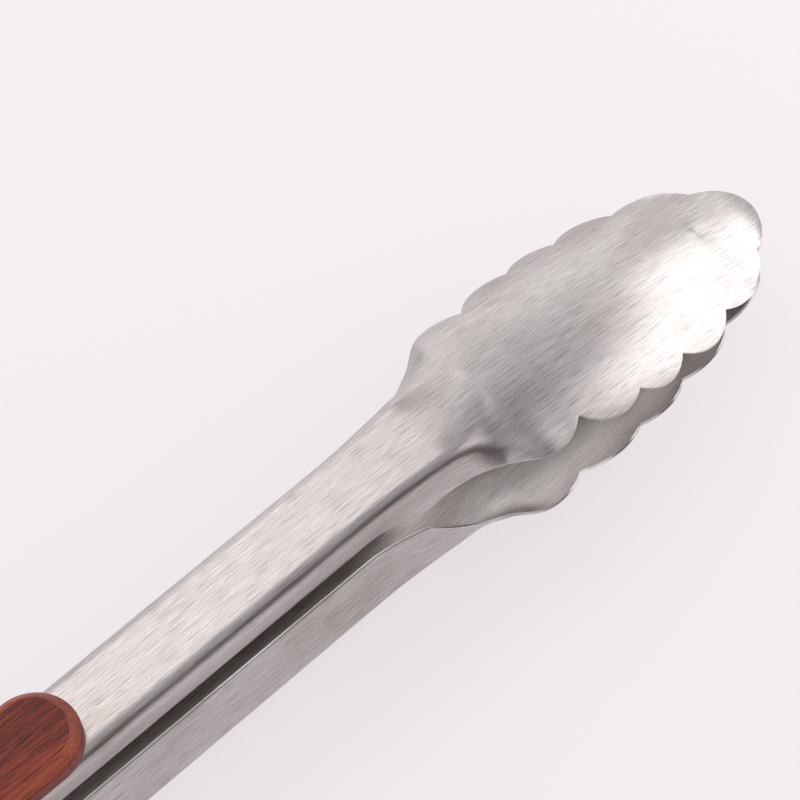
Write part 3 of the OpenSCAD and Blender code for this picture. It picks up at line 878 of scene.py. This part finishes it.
# the face against the washer is this much smaller all round than the dome
DOME_IN = 0.2
CAP_BORE = 0.9
PIN_END = HEAD_Y + CAP_BORE
PIN_ROUND = 0.15
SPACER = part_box("spacer_tube")
SPACER_R = radius_along_x("spacer_tube")
SPACER_ROUND = 0.3
GUIDE_ROUND = 0.3
PIN_PLACE = Matrix.Translation(HINGE) @ Matrix.Rotation(-math.pi / 2, 4, "X")


def dome_line(sign):
    """From the middle of a domed head to its rim. The sign is 1 for the +Y end of the pin."""
    ball = (DOME_R**2 + DOME_H**2) / (2 * DOME_H)
    middle = HEAD_Y + DOME_H - ball
    turns = np.linspace(0, math.asin(DOME_R / ball), DOME_STEPS)
    return [(ball * math.sin(a), sign * (middle + ball * math.cos(a))) for a in turns]


pin_line = dome_line(-1) + [(DOME_R - DOME_IN, -HEAD_Y), (PIN_R, -HEAD_Y), (PIN_R, PIN_END), (0, PIN_END)]
pin = lathe("hinge_pin_turned", rounded(pin_line, PIN_ROUND, steps=2), PIN_PLACE)
settle(pin, "lower_half", "pin_steel", "hinge_pin")
cap_line = dome_line(1) + [(DOME_R - DOME_IN, HEAD_Y), (PIN_R, HEAD_Y), (PIN_R, PIN_END), (0, PIN_END)]
cap = lathe("hinge_cap_domed", rounded(cap_line, PIN_ROUND, steps=2), PIN_PLACE)
settle(cap, "lower_half", "pin_steel", "hinge_pin_cap")
for which, low in (("left", HEAD_Y - WASHER_T), ("right", -HEAD_Y)):
    line = washer_line(PIN_FIT_R, WASHER_R, low, low + WASHER_T, WASHER_ROUND)
    washer = lathe(f"{which}_washer_ring", line, PIN_PLACE, ring=True)
    settle(washer, "lower_half", "pin_steel", f"{which}_hinge_washer")
line = washer_line(PIN_FIT_R, SPACER_R, SPACER[0].y / MM, SPACER[1].y / MM, SPACER_ROUND)
spacer = lathe("spacer_sleeve", line, PIN_PLACE, ring=True)
settle(spacer, "lower_half", "pin_steel", "spacer_tube")
right_end, left_end = GUIDE[0].y / MM, GUIDE[1].y / MM
line = [(0, right_end), (GUIDE_R / MM, right_end), (GUIDE_R / MM, left_end), (0, left_end)]
guide_place = Matrix.Translation((GUIDE_AT.x, 0, GUIDE_AT.z)) @ Matrix.Rotation(-math.pi / 2, 4, "X")
guide = lathe("guide_pin_turned", rounded(line, GUIDE_ROUND), guide_place)
settle(guide, "lower_half", "pin_steel", "guide_pin")

# ---------------------------------------------------------------- torsion spring
WIRE_R = 0.7
COIL_R = 4.5
COIL_TURNS = 5
COIL_HALF = 3.959
COIL_STEPS = 260
# the coil's two ends stay in one plane over this turn
FLAT_TURN = math.radians(50)
# slope of the straight legs against the arms
LEG = math.radians(27)
# each leg ends in a toe that lies along the web
WEB_GAP = 0.05
LEG_Z = HALF_H - SHEET_T - WIRE_R - WEB_GAP
TOE_LEN = 3.2
TOE_BEND = 3.0
WIRE_SIDES = 18
# the wire's rounded ends: how far they stand out as share of the radius, and the angles of their rings
WIRE_END = 0.4
WIRE_END_RINGS = (0.6, 1.1, 1.4)


def spring_path():
    """The wire's middle line round the hinge pin: lower leg, coil from right to left, upper leg."""
    sweep = 2 * math.pi * COIL_TURNS + math.pi - 2 * LEG
    coil = []
    for i in range(COIL_STEPS + 1):
        turn = sweep * i / COIL_STEPS
        a = 1.5 * math.pi - LEG - turn
        y = COIL_HALF * (2 * clamp01((turn - FLAT_TURN) / (sweep - 2 * FLAT_TURN)) - 1)
        coil.append((COIL_R * math.cos(a), y, COIL_R * math.sin(a)))
    run = (LEG_Z - COIL_R * math.cos(LEG)) / math.sin(LEG)
    foot = -COIL_R * math.sin(LEG) + run * math.cos(LEG)
    start = (-COIL_R * math.sin(LEG), COIL_R * math.cos(LEG))
    line = rounded([(foot, LEG_Z), (foot - TOE_LEN, LEG_Z), start], TOE_BEND, steps=10)
    lower = [(u, -COIL_HALF, -z) for u, z in line[:-1]]
    upper = [(u, COIL_HALF, z) for u, z in line[:-1]]
    return lower + coil + upper[::-1]


def wire(name, path, radius):
    """A round wire along a path in millimetres round the hinge pin, with rounded ends."""
    points = [Vector(p) for p in path]
    tangents = []
    for i in range(len(points)):
        tangents.append((points[min(i + 1, len(points) - 1)] - points[max(i - 1, 0)]).normalized())
    side = ALONG_Y
    rings = []
    for p, t in zip(points, tangents):
        side = (side - t * side.dot(t)).normalized()
        rings.append((p, t, side, t.cross(side), 1.0))
    for end, sign in ((0, -1), (-1, 1)):
        p, t, a, b, _ = rings[end]
        extra = [(p + t * (sign * radius * math.sin(f) * WIRE_END), t, a, b, math.cos(f))
                 for f in WIRE_END_RINGS]
        rings = extra[::-1] + rings if end == 0 else rings + extra
    verts, faces = [], []
    for p, _, a, b, k in rings:
        for j in range(WIRE_SIDES):
            f = 2 * math.pi * j / WIRE_SIDES
            verts.append(p + (a * math.cos(f) + b * math.sin(f)) * radius * k)
    for i in range((len(rings) - 1) * WIRE_SIDES):
        row, j = i - i % WIRE_SIDES, i % WIRE_SIDES
        on = row + (j + 1) % WIRE_SIDES
        faces.append((i, on, on + WIRE_SIDES, i + WIRE_SIDES))
    faces += [tuple(range(WIRE_SIDES)), tuple(range(len(verts) - WIRE_SIDES, len(verts)))]
    return new_object(name, closed_mesh(name, [v * MM + HINGE for v in verts], faces))


spring = wire("spring_wire", spring_path(), WIRE_R)
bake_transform(spring)
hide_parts("torsion_spring")
spring.data.materials.append(MATERIALS["spring_steel"])

# ---------------------------------------------------------------- lock slide
LOCK_LOW = (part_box("lock_slide")[0] - HINGE) / MM
LOCK_T = 1.0
LOCK_ROUND = 0.14
TRAVEL = joint("lock_push")["range_m"][1] / MM
OPEN = math.radians(joint("arm_open")["range_deg"][1])
SPRING_GAP = 0.3
CHEEK_Y = COIL_HALF + WIRE_R + SPRING_GAP
CHEEK_FRONT = 5
CHEEK_FRONT_Z = 9
# how far the cheeks' lower corner lies behind their front edge
CHEEK_SLANT = 4
CHEEK_ROUND = 1.1
# places along the cheeks' upper edge, and how far it stays under the web
CHEEK_TOP_U = (-10, -5, 0)
CHEEK_TOP_GAP = 0.5
# how many steps of the opening are looked at for it
OPEN_STEPS = 14
BRIDGE_GAP = 1.2
BRIDGE_U = -COIL_R - WIRE_R - TRAVEL - BRIDGE_GAP
BRIDGE_TOP = 9
OUTER_BEND = 1.6
INNER_BEND = 0.7
EYE_R = 8
EYE_HOLE_R = 4.5
EYE_U = LOCK_LOW.x + EYE_R
EYE_STEPS = 64
TONGUE_Y = 6
SLOT_GAP = 0.3
# the bent sheet starts out longer and higher than the cheeks, and is then cut to their outline
BLANK_FRONT = CHEEK_FRONT + 9
BLANK_Z = 20
# the cuts reach past both cheeks, and past the bridge's outer face by this much
CUT_Y = 9
CUT_PAST = 1


def cheek_top(u):
    """Highest that a cheek may be at u, under the upper web as it tips while the slide goes in."""
    web = HALF_H - SHEET_T
    shares = [i / OPEN_STEPS for i in range(OPEN_STEPS + 1)]
    free = min((u + TRAVEL * k) * math.tan(OPEN * k) + web / math.cos(OPEN * k) for k in shares)
    return free - CHEEK_TOP_GAP


def lock_slide():
    """Pressed slide: two cheeks and a bridge bent from one sheet, and a pull tongue with an eye."""
    back, out = BRIDGE_U - LOCK_T, CHEEK_Y + LOCK_T
    bent = rounded([(BLANK_FRONT, -out), (back, -out), (back, out), (BLANK_FRONT, out)], OUTER_BEND, steps=8)
    inside = rounded([(BLANK_FRONT, CHEEK_Y), (BRIDGE_U, CHEEK_Y), (BRIDGE_U, -CHEEK_Y),
                      (BLANK_FRONT, -CHEEK_Y)], INNER_BEND, steps=8)
    piece = prism("lock_slide_pressed", [tuple(p) for p in bent + inside], -BLANK_Z, BLANK_Z)
    bottom = LOCK_LOW.z
    outline = [(CHEEK_FRONT, -CHEEK_FRONT_Z), (CHEEK_FRONT - CHEEK_SLANT, bottom), (back - CUT_PAST, bottom),
               (back - CUT_PAST, BRIDGE_TOP), (BRIDGE_U, BRIDGE_TOP), (BRIDGE_U, cheek_top(back))]
    outline += [(u, cheek_top(u)) for u in CHEEK_TOP_U]
    outline += [(CHEEK_FRONT, CHEEK_FRONT_Z)]
    outline = [tuple(p) for p in rounded(outline, CHEEK_ROUND, closed=True)]
    combine(piece, [prism("cheeks", outline, -CUT_Y, CUT_Y, "Y")], "INTERSECT")
    guide_u, guide_z = (GUIDE_AT.x - HINGE.x) / MM, (GUIDE_AT.z - HINGE.z) / MM
    slots = [stadium(-TRAVEL, 0, 0, SPACER_R + SLOT_GAP),
             stadium(guide_u - TRAVEL, guide_u, guide_z, GUIDE_R / MM + SLOT_GAP)]
    combine(piece, [prism("slot", slot, -CUT_Y, CUT_Y, "Y") for slot in slots], "DIFFERENCE")
    root_u, root = BRIDGE_U - LOCK_T / 2, math.asin(TONGUE_Y / EYE_R)
    arc = [(EYE_U + EYE_R * math.cos(a), EYE_R * math.sin(a))
           for a in np.linspace(root, 2 * math.pi - root, EYE_STEPS)]
    tongue = prism("tongue", [(root_u, TONGUE_Y)] + arc + [(root_u, -TONGUE_Y)], -LOCK_T / 2, LOCK_T / 2)
    eye = rod(HINGE + Vector((EYE_U * MM, 0, 0)), ALONG_Z, EYE_HOLE_R * MM, 10 * LOCK_T * MM)
    combine(tongue, [eye], "DIFFERENCE")
    combine(piece, [tongue], "UNION")
    soften(piece, LOCK_ROUND * MM, 40)
    return piece


settle(lock_slide(), "lock", "lock_steel", "lock_slide")

# ---------------------------------------------------------------- floor, light and camera
# the middle of the head, which lights and flags are aimed at
HEAD = Vector((TIP_X - 0.05, 0, HINGE.z))
LIGHT_DISTANCE = 1.5
FLAG_DISTANCE = 0.95
# keeps the floor out of the plane of the lower grip
FLOOR_GAP = 0.05 * MM


def aim(thing, place, target):
    thing.location = place
    thing.rotation_mode = "QUATERNION"
    thing.rotation_quaternion = (Vector(target) - Vector(place)).to_track_quat("-Z", "Y")


def towards(azimuth, elevation, distance):
    """A place seen from the middle of the head. Azimuth 0 is along +X, and 90 along +Y."""
    a, e = math.radians(azimuth), math.radians(elevation)
    return HEAD + distance * Vector((math.cos(e) * math.cos(a), math.cos(e) * math.sin(a), math.sin(e)))


def softbox(name, azimuth, elevation, width, height, radiance, colour=(1, 1, 1)):
    """A plain rectangular light whose face has the given radiance."""
    data = bpy.data.lights.new(name, "AREA")
    data.color = colour
    data.shape, data.size, data.size_y = "RECTANGLE", width, height
    data.energy = radiance * math.pi * width * height
    aim(linked(name, data), towards(azimuth, elevation, LIGHT_DISTANCE), HEAD)


def plane(name, width, height, colour, roughness, glow):
    """A flat sheet of the studio, which is no part of the object. It also gives off its own colour."""
    mesh = bpy.data.meshes.new(name)
    x, y = width / 2, height / 2
    mesh.from_pydata([(-x, -y, 0), (x, -y, 0), (x, y, 0), (-x, y, 0)], [], [(0, 1, 2, 3)])
    piece = linked(name, mesh)
    material, _, shader = tree_of(name)
    shader.inputs["Base Color"].default_value = (*colour, 1)
    shader.inputs["Roughness"].default_value = roughness
    shader.inputs["Specular IOR Level"].default_value = 0.2
    shader.inputs["Emission Color"].default_value = (*colour, 1)
    shader.inputs["Emission Strength"].default_value = glow
    mesh.materials.append(material)
    piece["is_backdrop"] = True
    return piece


def flag(name, azimuth, elevation, width, height, colour, glow):
    """A sheet seen only in reflections, as the dark parts of a studio are."""
    piece = plane(name, width, height, colour, 0.9, glow)
    aim(piece, towards(azimuth, elevation, FLAG_DISTANCE), HEAD)
    piece.visible_camera = piece.visible_diffuse = piece.visible_shadow = False


plane("floor", 8, 8, (0.28, 0.2665, 0.277), 0.8, 2.25).location.z = -FLOOR_GAP
flag("dark_flag", -84, 17, 1.1, 0.74, (0.026, 0.01, 0.008), 0.5)
flag("grey_flag", -33, 61, 0.9, 0.5, (0.225, 0.222, 0.245), 1.0)
softbox("key_softbox", -15, 32, 1.8, 0.72, 2.25)
softbox("fill_softbox", 58, 17, 1.4, 0.8, 0.62)
softbox("top_softbox", 82, 62, 0.8, 0.95, 1.2, (1, 0.955, 0.94))
world = bpy.data.worlds.new("studio")
world.use_nodes = True
background = world.node_tree.nodes["Background"]
background.inputs["Color"].default_value = (0.985, 0.975, 1.0, 1)
background.inputs["Strength"].default_value = 0.7
bpy.context.scene.world = world
bpy.context.scene.view_settings.view_transform = "Standard"

CAMERA_AZIMUTH = math.radians(-35.90)
CAMERA_ELEVATION = math.radians(58.15)
CAMERA_ROLL = math.radians(-7.76)
# the camera's place from the last pair of notches, along its own right, up and back
CAMERA_OFFSET = (-0.0711, -0.0385, 0.6605)
camera_data = bpy.data.cameras.new("camera")
camera_data.lens, camera_data.sensor_width = 135, 36
camera_data.clip_start, camera_data.clip_end = 0.01, 50
camera = linked("camera", camera_data)
back = Vector((math.sin(CAMERA_AZIMUTH) * math.cos(CAMERA_ELEVATION),
               -math.cos(CAMERA_AZIMUTH) * math.cos(CAMERA_ELEVATION), math.sin(CAMERA_ELEVATION)))
level = Vector((math.cos(CAMERA_AZIMUTH), math.sin(CAMERA_AZIMUTH), 0))
above = back.cross(level)
right = level * math.cos(CAMERA_ROLL) + above * math.sin(CAMERA_ROLL)
up = above * math.cos(CAMERA_ROLL) - level * math.sin(CAMERA_ROLL)
axes = Matrix((right, up, back)).transposed()
eye_at = Vector((NOTCH_X, 0, HINGE.z)) + axes @ Vector(CAMERA_OFFSET)
camera.matrix_world = Matrix.Translation(eye_at) @ axes.to_4x4()
bpy.context.scene.camera = camera

low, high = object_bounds()
